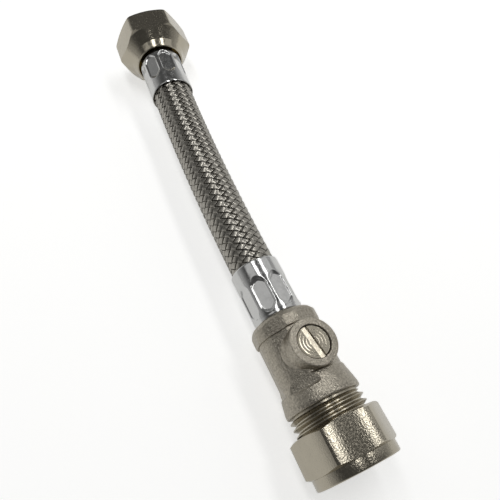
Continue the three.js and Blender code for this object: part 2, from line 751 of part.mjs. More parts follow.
// Swivel nut: the cone of its nose runs out on the flats, and a steep cut takes the corners off there.
// The far end is the threaded mouth for the tap.
function swivelNut() {
  const flatR = ACROSS_FLATS / 2;
  const cutStart = NUT_NOSE + (CORNER_CUT_R - NOSE_R) / Math.tan(NOSE_ANGLE);
  const frontRun = (CORNER_R - CORNER_CUT_R) * Math.tan(NUT_CHAMFER_ANGLE);
  const mouthRun = (CORNER_R - flatR) * Math.tan(NUT_CHAMFER_ANGLE);
  const envelope = bar([
    [NUT_NOSE, NOSE_R],
    [cutStart, CORNER_CUT_R],
    [cutStart + frontRun, CORNER_R],
    [TAP_HEX_END - mouthRun, CORNER_R],
    [TAP_HEX_END, flatR],
  ]);
  const mouthR = THREAD_R + THREAD_CLEARANCE;
  const inside = bar([
    [NUT_NOSE - 1, NOSE_HOLE_R],
    [NUT_SEAT, NOSE_HOLE_R],
    [NUT_SEAT, THREAD_ROOT_R],
    [TAP_HEX_END - THREAD_DEPTH, THREAD_ROOT_R],
    [TAP_HEX_END + GAP, mouthR + GAP],
  ]);
  return solid(prism(6, ACROSS_FLATS, NUT_NOSE, TAP_HEX_END))
    .intersect(solid(envelope))
    .subtract(solid(inside));
}

// Assembly
function valveEnd() {
  const group = new THREE.Group();
  const hoseEnd = named('valve_ferrule', ferrule(VALVE_POCKET_TURN), stainless());
  hoseEnd.position.x = VALVE_FERRULE_START;
  group.add(
    named('valve_body', valveBody(), mattNickel()),
    named('inlet_ball_seat', seat(-1), ptfe()),
    named('outlet_ball_seat', seat(1), ptfe()),
    named('valve_ball', ball(), chrome()),
    named('valve_spindle', spindle(), mattNickel()),
    named('spindle_thrust_washer', thrustWasher(), ptfe()),
    named('spindle_o_ring', oRing(), rubber()),
    named('valve_hose_tail', valveTail(), brass()),
    named('compression_olive', olive(), brass()),
    named('compression_nut', compressionNut(), nickel()),
    named('hose_liner', liner(), rubber()),
    named('hose_braid', braid(), stainless()),
    hoseEnd,
  );
  return group;
}

function tapEnd() {
  const group = new THREE.Group();
  const hoseEnd = named('tap_ferrule', ferrule(TAP_POCKET_TURN), stainless());
  hoseEnd.rotation.y = Math.PI;
  hoseEnd.position.x = FERRULE_LENGTH;
  group.add(
    hoseEnd,
    named('tap_tailpiece', tapTail(), brass()),
    named('sealing_washer', sealingWasher(), fibre()),
    named('swivel_nut', swivelNut(), nickel()),
  );
  group.rotation.z = -HOSE_BOW;
  group.position.set(HOSE_START + BOW_R * Math.sin(HOSE_BOW), BOW_R * (Math.cos(HOSE_BOW) - 1), 0);
  return group;
}

// The connector stands with the middle of its footprint at the origin and its lowest flats at zero
const connector = new THREE.Group();
connector.add(valveEnd(), tapEnd());
connector.updateMatrixWorld(true);
const reach = new THREE.Box3().setFromObject(connector, true);
const middle = reach.getCenter(new THREE.Vector3());
connector.position.set(-middle.x, -middle.y, -reach.min.z);

export default connector;
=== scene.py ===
"""Looks of a short flexible tap connector with an isolating valve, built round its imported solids."""

import json
import math

import bmesh
import bpy
import numpy as np
from bpy.props import FloatProperty, FloatVectorProperty, IntProperty, PointerProperty
from mathutils import Matrix, Vector


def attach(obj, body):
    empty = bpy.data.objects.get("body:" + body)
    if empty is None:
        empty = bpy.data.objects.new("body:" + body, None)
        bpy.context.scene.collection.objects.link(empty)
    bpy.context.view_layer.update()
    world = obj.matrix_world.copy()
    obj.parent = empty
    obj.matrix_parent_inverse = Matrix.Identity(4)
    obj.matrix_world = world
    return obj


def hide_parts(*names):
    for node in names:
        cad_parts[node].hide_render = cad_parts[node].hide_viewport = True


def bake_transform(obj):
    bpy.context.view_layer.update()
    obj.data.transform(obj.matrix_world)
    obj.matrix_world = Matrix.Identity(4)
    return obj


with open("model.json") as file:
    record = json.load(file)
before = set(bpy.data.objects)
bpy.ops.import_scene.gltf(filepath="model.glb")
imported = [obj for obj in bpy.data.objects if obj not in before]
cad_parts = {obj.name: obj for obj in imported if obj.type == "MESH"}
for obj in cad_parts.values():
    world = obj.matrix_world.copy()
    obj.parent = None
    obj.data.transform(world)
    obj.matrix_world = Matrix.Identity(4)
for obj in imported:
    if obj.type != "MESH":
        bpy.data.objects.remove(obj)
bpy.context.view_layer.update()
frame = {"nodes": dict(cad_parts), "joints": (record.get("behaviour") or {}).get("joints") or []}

bl_info = {
    "name": "Flexible tap connector",
    "version": (1, 0, 0),
    "blender": (4, 5, 0),
    "location": "3D View > Sidebar > Connector",
    "description": "Builds the nuts, valve, ferrules, braided hose and studio of a flexible tap connector",
    "category": "Object",
}

MM = 0.001
FILLET_STEPS = 5
FLAT_STEPS = 20
JOINTS = {joint["name"]: joint for joint in frame["joints"]}


def linear(code):
    """An sRGB hex colour as linear red, green and blue."""
    parts = [int(code[i:i + 2], 16) / 255 for i in (1, 3, 5)]
    return tuple(p / 12.92 if p <= 0.04045 else ((p + 0.055) / 1.055) ** 2.4 for p in parts)


def size(name, default_mm, description):
    """A length in metres that a user may change, from its value in millimetres."""
    return FloatProperty(name=name, description=description, default=default_mm * MM,
                         min=0.0, precision=5, subtype="DISTANCE", unit="LENGTH")


def turn(name, default, description):
    return FloatProperty(name=name, description=description, default=default,
                         subtype="ANGLE", unit="ROTATION")


def colour(name, code, description):
    return FloatVectorProperty(name=name, description=description, default=linear(code),
                               min=0.0, max=1.0, size=3, subtype="COLOR")


class ConnectorNutSizes(bpy.types.PropertyGroup):
    across_flats: size("Across flats", 24, "Spanner size of both nuts")
    crown: size("Crown of the flats", 0.55, "How far a flat falls away towards its long corners")
    corner_radius: size("Corner radius", 13.2, "Long corners of the compression nut, from its middle")
    tap_crown: size("Tap nut crown", 0.2, "The fall of the flats on the swivel nut")
    tap_corner_radius: size("Tap nut corner radius", 13.45, "Long corners of the swivel nut")
    collar_radius: size("Collar radius", 11.75, "Round collar of the compression nut")
    collar_length: size("Collar length", 2.9, "Length of that collar")
    pipe_hex: size("Pipe nut hexagon", 9.9, "Length of the hexagon of the compression nut")
    pipe_hole: size("Pipe hole radius", 7.65, "Hole for the copper pipe")
    nose_start: size("Nose start", 16.9, "Front of the swivel nut, from the end of the visible hose")
    nose_radius: size("Nose radius", 8.95, "Outside radius of the nut's nose at its front")
    nose_hole: size("Nose hole radius", 8.1, "Hole in the nose round the ferrule")
    nose_angle: turn("Nose angle", math.radians(31), "Slope of the conical nose")
    corner_cut: size("Corner cut radius", 12.65, "Where the nose meets the steep cut of the corners")
    seat: size("Nut seat", 20.34, "Seat inside the nut that pulls on the tail's flange")
    tap_hex_end: size("Tap nut mouth", 31.9, "Open end of the swivel nut")


class ConnectorValveSizes(bpy.types.PropertyGroup):
    body_start: size("Inlet", 7.4, "Start of the threaded inlet, from the mouth of the nut")
    shoulder: size("Shoulder", 18.1, "Start of the forged body")
    body_end: size("Body end", 43.2, "End of the body at the hose")
    flats: size("Collar across flats", 18.9, "Flats of the collar at the hose end")
    collar_start: size("Collar start", 38.6, "Start of that collar")
    waist_radius: size("Waist radius", 9.3, "Round waist of the forging")
    side_flats: size("Side flats", 18.15, "Across the flats that run along both sides of the waist")
    flare_end: size("Flare end", 24.9, "Where the flare meets the straight body")
    round_radius: size("Turned radius", 9.95, "Round limit of the forging's corners")
    thread_radius: size("Thread radius", 10.4775, "Crest of the half-inch parallel thread")
    thread_pitch: size("Thread pitch", 1.814, "Pitch of that thread")
    thread_depth: size("Thread depth", 1.162, "Depth of that thread")
    boss_station: size("Boss station", 31.84, "Spindle axis, from the mouth of the nut")
    boss_turn: turn("Boss turn", math.radians(15), "Lean of the boss round the line of the pipe")
    boss_radius: size("Boss radius", 6.75, "Round boss for the spindle")
    boss_height: size("Boss height", 11.27, "Face of the boss above the line of the pipe")
    recess_height: size("Recess height", 8.95, "Flat beside the boss, in line with one of the collar's")
    recess_start: size("Recess start", 22.2, "Where that flat begins, on the flare")
    collar_turn: turn("Collar turn", math.radians(-26), "Turn of the collar's flats from upright")
    spindle_radius: size("Spindle radius", 4.6, "Slotted spindle")
    slot_width: size("Slot width", 1.9, "Screwdriver slot")
    slot_turn: turn("Slot turn", math.radians(9), "Turn of the slot from the line of the pipe")


class ConnectorHoseSizes(bpy.types.PropertyGroup):
    start: size("Hose start", 60.9, "Where the hose leaves the valve's ferrule")
    visible: size("Visible hose", 75, "Length of hose between the two ferrules")
    bow: turn("Bow", math.radians(4.9), "Angle that the hose turns through as it lies")
    braid_radius: size("Braid radius", 6.8, "Outside of the braid")
    ribbons: IntProperty(name="Ribbons each way", description="Flat wire ribbons in each direction",
                         default=12, min=4, max=24)
    row_pitch: size("Row pitch", 2.3, "Spacing of the rows of the weave along the hose")
    ribbon_width: size("Ribbon width", 1.55, "Width of one ribbon of wires")
    wires: IntProperty(name="Wires", description="Wires side by side in a ribbon", default=7, min=3, max=9)
    ferrule_radius: size("Ferrule radius", 7.5, "Outside of the crimped ferrules")
    ferrule_length: size("Ferrule length", 17.4, "Length of a ferrule")
    ferrule_wall: size("Ferrule wall", 0.45, "Thickness of its sheet")
    pocket_radius: size("Pocket radius", 6.85, "Distance of a pressed flat from the middle of the hose")
    pocket_start: size("Pocket start", 1.7, "End of the plain ring at the hooked end")
    pocket_end: size("Pocket end", 12.6, "Where the pressed pockets run out into the bell")


class ConnectorColours(bpy.types.PropertyGroup):
    nickel: colour("Nickel plate", "#B4AD9D", "Bright nickel on the nuts")
    forged: colour("Forged nickel", "#B5AEA0", "Matt nickel on the forged body")
    stainless: colour("Stainless", "#CDCDCB", "Polished ferrules")
    wire: colour("Wire", "#B3AFA6", "Stainless wire of the braid")
    brass: colour("Brass", "#B8974E", "Plain brass inside")
    rubber: colour("Rubber", "#1D1D1E", "Liner and sealing ring")
    washer: colour("Washer", "#2B2A29", "Sealing washer of the tap nut")
    plastic: colour("Seat plastic", "#E9E7E1", "Ball seats and thrust washer")
    floor: colour("Floor", "#F3F3F2", "Studio floor")


def sizes(group):
    """The lengths of a group in millimetres, and its other values as they are."""
    values = {}
    for key in group.bl_rna.properties.keys():
        if key in ("name", "rna_type"):
            continue
        value = getattr(group, key)
        unit = group.bl_rna.properties[key].unit
        values[key] = value / MM if unit == "LENGTH" else value
    return values


def pipe_line():
    """Millimetres along the valve, from the mouth of the compression nut, to the frame's metres."""
    return Matrix.Translation(JOINTS["nut_turn"]["pos_m"]) @ Matrix.Scale(MM, 4)


def tap_line(hose):
    """The same for the tap end: X runs on from the end of the visible hose."""
    bow_radius = hose["visible"] / hose["bow"]
    end = Vector((hose["start"] + bow_radius * math.sin(hose["bow"]),
                  bow_radius * (math.cos(hose["bow"]) - 1), 0))
    return pipe_line() @ Matrix.Translation(end) @ Matrix.Rotation(-hose["bow"], 4, "Z")


def body_line(valve):
    """The pipe line turned so that Z points along the spindle."""
    return pipe_line() @ Matrix.Rotation(valve["boss_turn"], 4, "X")


def boss_place(valve):
    """A shape turned about X, stood on the boss: X becomes the height above the pipe's line."""
    return Matrix.Translation((valve["boss_station"], 0, 0)) @ Matrix.Rotation(-math.pi / 2, 4, "Y")


def only(obj):
    """Selects this object and nothing else."""
    bpy.ops.object.select_all(action="DESELECT")
    obj.select_set(True)
    bpy.context.view_layer.objects.active = obj


def edit(obj, *steps):
    """Runs mesh steps on all of an object's mesh in edit mode."""
    only(obj)
    bpy.ops.object.mode_set(mode="EDIT")
    bpy.ops.mesh.select_all(action="SELECT")
    for step in steps:
        step()
    bpy.ops.object.mode_set(mode="OBJECT")


def from_points(name, points, edges, faces):
    """An object made of points, with the edges and faces between them."""
    mesh = bpy.data.meshes.new(name)
    mesh.from_pydata(points, edges, faces)
    obj = bpy.data.objects.new(name, mesh)
    bpy.context.collection.objects.link(obj)
    return obj


def apply(obj, modifier):
    """Makes a modifier's result the object's own mesh."""
    only(obj)
    bpy.ops.object.modifier_apply(modifier=modifier.name)


def tidy_mesh():
    """Merges points that meet and turns every face outwards."""
    bpy.ops.mesh.remove_doubles(threshold=1e-4)
    bpy.ops.mesh.normals_make_consistent(inside=False)


def pick(obj, test):
    """Selects in edit mode the elements that a test picks from the mesh."""
    mesh = bmesh.from_edit_mesh(obj.data)
    for element in (*mesh.verts, *mesh.edges, *mesh.faces):
        element.select = False
    for element in test(mesh):
        element.select_set(True)
    mesh.select_flush_mode()
    bmesh.update_edit_mesh(obj.data)


def filleted(outline, closed):
    """An outline of (x, radius) points, with a corner that has a third number rounded to that radius."""
    count = len(outline)
    points = []
    for i, corner in enumerate(outline):
        here = Vector(corner[:2])
        ends = (i == 0 or i == count - 1) and not closed
        if len(corner) < 3 or ends:
            points.append(here)
            continue
        back = (Vector(outline[i - 1][:2]) - here).normalized()
        on = (Vector(outline[(i + 1) % count][:2]) - here).normalized()
        half = back.angle(on) / 2
        centre = here + (back + on).normalized() * corner[2] / math.sin(half)
        first = here + back * corner[2] / math.tan(half) - centre
        last = here + on * corner[2] / math.tan(half) - centre
        for step in range(FILLET_STEPS + 1):
            points.append(centre + first.lerp(last, step / FILLET_STEPS).normalized() * corner[2])
    return points


def spun(name, outline, sides=96, closed=True):
    """A shape turned about X from its outline of (x, radius) points."""
    points = filleted(outline, closed)
    edges = [(i, i + 1) for i in range(len(points) - 1)]
    if closed:
        edges.append((len(points) - 1, 0))
    obj = from_points(name, [(x, 0, r) for x, r in points], edges, [])

    def spin():
        bpy.ops.mesh.spin(steps=sides, angle=math.tau, center=(0, 0, 0), axis=(1, 0, 0))

    edit(obj, spin, tidy_mesh)
    return obj


def bar(name, outline, sides=96):
    """A solid turned shape, from points that run between its two end faces."""
    return spun(name, [(outline[0][0], 0), *outline, (outline[-1][0], 0)], sides, closed=False)


def long_edges(mesh):
    """Edges that run along X, or nearly."""
    return [e for e in mesh.edges if abs((e.verts[0].co - e.verts[1].co).normalized().x) > 0.9]


def crowned_bar(name, sides, across_flats, start, end, crown, corner_radius):
    """A bar with flats along X that fall away a little towards its rounded long corners."""
    half = math.pi / sides
    outline = []
    for i in range(sides):
        for phi in np.linspace(-half, half, FLAT_STEPS + 1)[:-1]:
            share = abs(math.tan(phi) / math.tan(half))
            radius = min((across_flats / 2 - crown * share ** 3) / math.cos(phi), corner_radius)
            angle = 2 * i * half + phi
            outline.append((start, radius * math.sin(angle), radius * math.cos(angle)))
    obj = from_points(name, outline, [], [list(range(len(outline)))])
    along = (end - start, 0, 0)
    edit(obj, lambda: bpy.ops.mesh.extrude_region_move(TRANSFORM_OT_translate={"value": along}))
    edit(obj, tidy_mesh)
    return obj


def block(name, low, high):
    """A box between two corners."""
    middle = [(a + b) / 2 for a, b in zip(low, high)]
    bpy.ops.object.select_all(action="DESELECT")
    bpy.ops.mesh.primitive_cube_add(size=1, location=middle, scale=[b - a for a, b in zip(low, high)])
    obj = bpy.context.object
    obj.name = name
    bpy.ops.object.transform_apply(location=True, rotation=True, scale=True)
    return obj


def combine(obj, other, operation):
    """Joins, cuts or trims an object with another, which is used up."""
    modifier = obj.modifiers.new(operation.title(), "BOOLEAN")
    modifier.operation = operation
    modifier.solver = "EXACT"
    modifier.object = other
    apply(obj, modifier)
    bpy.data.objects.remove(other)
    return obj


def settle(obj, place, materials, body, nodes, smooth=30):
    """Puts a finished piece in its place, with its finish, and ties it to its body."""
    obj.data.transform(place)
    obj.data.update()
    only(obj)
    bpy.ops.object.shade_smooth_by_angle(angle=math.radians(smooth))
    if not obj.data.materials:
        for material in materials:
            obj.data.materials.append(material)
    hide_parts(*nodes)
    if body is not None:
        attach(obj, body)


def add_node(tree, kind, inputs=None, **settings):
    """Adds a node with its settings; an input is a value or the socket that feeds it."""
    node = tree.nodes.new(kind)
    for key, value in settings.items():
        setattr(node, key, value)
    for key, value in (inputs or {}).items():
        if isinstance(value, bpy.types.NodeSocket):
            tree.links.new(value, node.inputs[key])
        else:
            node.inputs[key].default_value = value
    return node


def new_material(name, metallic, roughness):
    """A material with its tree, its shader and the coordinates of the piece."""
    material = bpy.data.materials.new(name)
    material.use_nodes = True
    tree = material.node_tree
    shader = tree.nodes["Principled BSDF"]
    shader.inputs["Metallic"].default_value = metallic
    shader.inputs["Roughness"].default_value = roughness
    coordinates = add_node(tree, "ShaderNodeTexCoord").outputs["Object"]
    return material, tree, shader, coordinates


def grain(tree, coordinates, millimetres, detail=2.0):
    """Noise whose blotches are about that many millimetres across."""
    return add_node(tree, "ShaderNodeTexNoise", {
        "Vector": coordinates, "Scale": 1 / (millimetres * MM), "Detail": detail}).outputs["Fac"]


def spread(tree, value, low, high):
    """A noise value stretched from its usual span to a range."""
    return add_node(tree, "ShaderNodeMapRange", {
        "Value": value, "From Min": 0.3, "From Max": 0.7, "To Min": low, "To Max": high}).outputs["Result"]


def tinted(tree, shader, factor, dark, light):
    """The base colour varies between two tones of the finish."""
    mix = add_node(tree, "ShaderNodeMix", {0: factor, 6: (*dark, 1), 7: (*light, 1)}, data_type="RGBA")
    tree.links.new(mix.outputs[2], shader.inputs["Base Color"])


def shade_of(tone, share):
    """A tone made darker or lighter by a share."""
    return tuple(channel * share for channel in tone)


def drawn_nickel(colours):
    """Bright nickel on drawn hexagon bar: the flats keep the bar's fine dimpled skin."""
    material, tree, shader, place = new_material("nickel_on_drawn_brass", 1.0, 0.22)
    tinted(tree, shader, grain(tree, place, 3.0), shade_of(colours.nickel, 0.86), colours.nickel)
    tree.links.new(spread(tree, grain(tree, place, 0.5), 0.15, 0.28), shader.inputs["Roughness"])
    dimples = add_node(tree, "ShaderNodeTexNoise", {
        "Vector": place, "Scale": 1 / (0.42 * MM), "Detail": 1.0})
    bump = add_node(tree, "ShaderNodeBump", {
        "Height": dimples.outputs["Fac"], "Strength": 1.0, "Distance": 0.034 * MM})
    tree.links.new(bump.outputs["Normal"], shader.inputs["Normal"])
    return material


def turned_nickel(colours, centre, axis, roughness=0.13):
    """Bright nickel on lathe-turned brass: faint rings from the tool, and a soft mirror."""
    material, tree, shader, place = new_material("nickel_on_turned_brass", 1.0, roughness)
    tinted(tree, shader, grain(tree, place, 4.0), shade_of(colours.nickel, 0.88), colours.nickel)
    tree.links.new(spread(tree, grain(tree, place, 1.2), roughness, roughness + 0.1),
                   shader.inputs["Roughness"])
    offset = add_node(tree, "ShaderNodeVectorMath", {0: place, 1: centre}, operation="SUBTRACT")
    along = add_node(tree, "ShaderNodeVectorMath", {0: offset.outputs[0], 1: axis},
                     operation="DOT_PRODUCT").outputs["Value"]
    rings = add_node(tree, "ShaderNodeTexNoise", {"W": along, "Scale": 1 / (0.22 * MM), "Detail": 2.0},
                     noise_dimensions="1D")
    skin = grain(tree, place, 0.6)
    height = add_node(tree, "ShaderNodeMath", {0: rings.outputs["Fac"], 1: skin}, operation="ADD")
    bump = add_node(tree, "ShaderNodeBump", {
        "Height": height.outputs[0], "Strength": 1.0, "Distance": 0.012 * MM})
    tree.links.new(bump.outputs["Normal"], shader.inputs["Normal"])
    return material


def forged_nickel(colours):
    """Matt nickel on a shot-blasted forging: a fine pitted grain that sparkles a little."""
    material, tree, shader, place = new_material("nickel_on_forged_brass", 1.0, 0.42)
    sparkle = spread(tree, grain(tree, place, 0.5, 3.0), 0.0, 1.0)
    tinted(tree, shader, sparkle, shade_of(colours.forged, 0.62), shade_of(colours.forged, 1.1))
    tree.links.new(spread(tree, grain(tree, place, 0.35), 0.28, 0.5), shader.inputs["Roughness"])
    pits = add_node(tree, "ShaderNodeTexVoronoi", {"Vector": place, "Scale": 1 / (0.36 * MM)},
                    feature="SMOOTH_F1")
    fine = grain(tree, place, 0.4, 3.0)
    height = add_node(tree, "ShaderNodeMath", {0: pits.outputs["Distance"], 1: fine}, operation="ADD")
    bump = add_node(tree, "ShaderNodeBump", {
        "Height": height.outputs[0], "Strength": 1.0, "Distance": 0.095 * MM})
    tree.links.new(bump.outputs["Normal"], shader.inputs["Normal"])
    return material


def pressed_stainless(colours):
    """Bright-annealed stainless sheet, pressed and polished: a mirror with faint handling marks."""
    material, tree, shader, place = new_material("polished_stainless_sheet", 1.0, 0.12)
    tinted(tree, shader, grain(tree, place, 5.0), shade_of(colours.stainless, 0.9), colours.stainless)
    tree.links.new(spread(tree, grain(tree, place, 1.5, 4.0), 0.1, 0.24), shader.inputs["Roughness"])
    bump = add_node(tree, "ShaderNodeBump", {
        "Height": grain(tree, place, 1.8), "Strength": 1.0, "Distance": 0.02 * MM})
    tree.links.new(bump.outputs["Normal"], shader.inputs["Normal"])
    return material


def drawn_wire(colours):
    """Drawn stainless wire: bright on its crown, its tone and roughness changing at random in small
    blotches.
    """
    material, tree, shader, place = new_material("drawn_stainless_wire", 1.0, 0.22)
    tinted(tree, shader, grain(tree, place, 1.1), shade_of(colours.wire, 0.6), colours.wire)
    tree.links.new(spread(tree, grain(tree, place, 0.5), 0.22, 0.36), shader.inputs["Roughness"])
    return material


def plain_brass(colours, tarnish=0.0):
    """Turned brass left bare: warm, its tone and roughness changing a little at random, and browned where it
    has tarnished.
    """
    material, tree, shader, place = new_material("turned_brass", 1.0, 0.3)
    tone = shade_of(colours.brass, 1 - tarnish)
    tinted(tree, shader, grain(tree, place, 2.0), shade_of(tone, 0.75), tone)
    tree.links.new(spread(tree, grain(tree, place, 0.6), 0.24, 0.4), shader.inputs["Roughness"])
    return material


def chromed_brass(colours):
    """Hard chrome on the ball: a clean mirror with slight wear."""
    material, tree, shader, place = new_material("chromed_brass", 1.0, 0.08)
    tinted(tree, shader, grain(tree, place, 3.0), shade_of(colours.stainless, 0.92), colours.stainless)
    tree.links.new(spread(tree, grain(tree, place, 1.0), 0.05, 0.14), shader.inputs["Roughness"])
    return material


def moulded(name, tone, roughness, millimetres):
    """Moulded rubber or plastic: one colour with a slight bloom and a fine skin."""
    material, tree, shader, place = new_material(name, 0.0, roughness)
    tinted(tree, shader, grain(tree, place, 2.5), shade_of(tone, 0.8), tone)
    bump = add_node(tree, "ShaderNodeBump", {
        "Height": grain(tree, place, millimetres), "Strength": 1.0, "Distance": 0.03 * MM})
    tree.links.new(bump.outputs["Normal"], shader.inputs["Normal"])
    return material


def finish_flats(obj, start, reach):
    """Gives the drawn outside of a nut, from this station on, the second material."""
    for face in obj.data.polygons:
        outside = math.hypot(face.center.y, face.center.z) > reach
        if outside and face.center.x > start and abs(face.normal.x) < 0.02:
            face.material_index = 1


def nut_run(across_flats):
    """How far the 30 degree end chamfer of a hexagon reaches along it."""
    return (across_flats / 2 / math.cos(math.pi / 6) - across_flats / 2) * math.tan(math.pi / 6)


def build_compression_nut(nuts, valve, colours):
    flat = nuts["across_flats"] / 2
    corner = flat / math.cos(math.pi / 6)
    run = nut_run(nuts["across_flats"])
    start = nuts["collar_length"]
    end = start + nuts["pipe_hex"]
    hole = nuts["pipe_hole"]
    cone_start, cone_end, cone_radius = 2.6, 3.9, 8.95
    thread_start = 4.6
    bore = valve["thread_radius"] + 0.2
    flare = 0.44
    nut = crowned_bar("compression_nut_plated", 6, nuts["across_flats"], start, end, nuts["crown"],
                      nuts["corner_radius"])
    combine(nut, bar("envelope", [(start, flat - 0.1, 0.2), (start + run, corner), (end - run, corner),
                                  (end, flat - 0.1, 0.2)]), "INTERSECT")
    collar = nuts["collar_radius"]
    combine(nut, bar("collar", [(0, collar, 0.4), (start + 0.4, collar)]), "UNION")
    combine(nut, bar("bore", [
        (-1, hole + 1.3),
        (0.3, hole),
        (cone_start, hole),
        (cone_end, cone_radius),
        (thread_start, cone_radius),
        (thread_start, bore),
        (end - flare, bore),
        (end + flare, bore + 2 * flare),
    ]), "DIFFERENCE")
    finish_flats(nut, 0.4, collar - 0.05)
    place = pipe_line()
    materials = [turned_nickel(colours, place.translation, (1, 0, 0)), drawn_nickel(colours)]
    settle(nut, place, materials, "pipe_nut", ["compression_nut"])

    olive_start, olive_end = 3.05, 8.45
    olive_radius, olive_tip = 8.6, 7.85
    olive = spun("compression_olive_turned", [
        (olive_start, hole),
        (olive_start, olive_tip, 0.1),
        (olive_start + 1.2, olive_radius, 0.5),
        (olive_end - 2.4, olive_radius, 0.5),
        (olive_end, olive_tip, 0.1),
        (olive_end, hole),
    ])
    settle(olive, place, [plain_brass(colours)], "olive", ["compression_olive"])


def build_swivel_nut(nuts, valve, hose, colours):
    flat = nuts["across_flats"] / 2
    corner = flat / math.cos(math.pi / 6)
    run = nut_run(nuts["across_flats"])
    nose = nuts["nose_start"]
    end = nuts["tap_hex_end"]
    cut = nose + (nuts["corner_cut"] - nuts["nose_radius"]) / math.tan(nuts["nose_angle"])
    root = valve["thread_radius"] - valve["thread_depth"]
    nut = crowned_bar("swivel_nut_plated", 6, nuts["across_flats"], nose, end, nuts["tap_crown"],
                      nuts["tap_corner_radius"])
    combine(nut, bar("envelope", [
        (nose, nuts["nose_radius"] - 0.3, 0.12),
        (nose + 0.9, nuts["nose_radius"] + 0.05, 0.4),
        (nose + 2.4, nuts["nose_radius"] + 0.75, 1.2),
        (cut, nuts["corner_cut"], 0.4),
        (cut + (corner - nuts["corner_cut"]) * math.tan(math.pi / 6), corner),
        (end - run, corner),
        (end, flat - 0.1, 0.2),
    ]), "INTERSECT")
    combine(nut, bar("bore", [
        (nose - 1, nuts["nose_hole"] + 0.5),
        (nose + 0.15, nuts["nose_hole"]),
        (nuts["seat"], nuts["nose_hole"]),
        (nuts["seat"], root),
        (end + 1, root),
    ]), "DIFFERENCE")
    combine(nut, helical("mouth_thread", valve, nuts["seat"] + 5.2, end + 1, 0.2), "DIFFERENCE")
    combine(nut, bar("mouth", [(end - 1.0, root), (end + 0.6, root + 1.6)]), "DIFFERENCE")
    finish_flats(nut, nose, flat - nuts["tap_crown"] - 0.05)
    place = tap_line(hose)
    axis = place.to_3x3() @ Vector((1 / MM, 0, 0))
    materials = [turned_nickel(colours, place.translation, axis), drawn_nickel(colours)]
    settle(nut, place, materials, "tap_nut", ["swivel_nut"])

    gap = 0.3
    flange = nuts["seat"] + gap
    flange_end = flange + 2.2
    flange_radius = root - gap
    near = flange_end + gap
    far = near + 2
    washer_hole = flange_radius - 4
    washer = spun("sealing_washer_cut", [
        (near, washer_hole, 0.1),
        (near, flange_radius, 0.15),
        (far, flange_radius, 0.15),
        (far, washer_hole, 0.1),
    ])
    settle(washer, place, [moulded("washer_rubber", colours.washer, 0.7, 0.3)], "tap_nut",
           ["sealing_washer"])

    tip, hole, stem, barb, neck = 1.9, 2.95, 3.95, 4.3, 4.85
    neck_start = 15.8
    tail = [(tip, hole, 0.1), (tip, stem, 0.15)]
    for step in (5.8, 9.8, 13.8):
        tail += [(step - 3, stem), (step, barb), (step, stem)]
    tail += [(neck_start, stem), (neck_start, neck), (flange, neck), (flange, flange_radius, 0.1),
             (flange_end, flange_radius, 0.1), (flange_end, hole)]
    piece = spun("tap_tailpiece_turned", tail)
    settle(piece, place, [plain_brass(colours, 0.75)], "tap_end", ["tap_tailpiece"])


def helical(name, valve, start, end, clearance=0.0):
    """A threaded core made with a screw modifier, trimmed square at both ends."""
    pitch = valve["thread_pitch"]
    crest_radius = valve["thread_radius"] + clearance
    root = crest_radius - valve["thread_depth"]
    flank = 0.58
    land = pitch / 2 - flank
    turns = math.ceil((end - start) / pitch) + 3
    first = start - 2 * pitch
    outline = [(0, root), (land * 0.9, root), (land * 1.1 + flank, crest_radius),
               (land * 1.9 + flank, crest_radius), (pitch, root)]
    edges = [(i, i + 1) for i in range(len(outline) - 1)]
    obj = from_points(name, [(first + x, 0, r) for x, r in outline], edges, [])
    screw = obj.modifiers.new("Thread", "SCREW")
    screw.axis = "X"
    screw.screw_offset = pitch
    screw.iterations = turns
    screw.steps = screw.render_steps = 72
    apply(obj, screw)

    def close():
        bpy.ops.mesh.remove_doubles(threshold=1e-3)
        data = bmesh.from_edit_mesh(obj.data)
        rim = [e for e in data.edges if e.is_boundary]
        middle = sum(v.co.x for v in data.verts) / len(data.verts)
        tips = {side: data.verts.new((first + (turns + 2.5) * pitch if side else first - pitch, 0, 0))
                for side in (False, True)}
        for edge in rim:
            side = (edge.verts[0].co.x + edge.verts[1].co.x) / 2 > middle
            data.faces.new((*edge.verts, tips[side]))
        bmesh.update_edit_mesh(obj.data)
        bpy.ops.mesh.select_all(action="SELECT")
        bpy.ops.mesh.normals_make_consistent(inside=False)

    edit(obj, close)
    return combine(obj, bar("trim", [(start, crest_radius + 1), (end, crest_radius + 1)], 24), "INTERSECT")


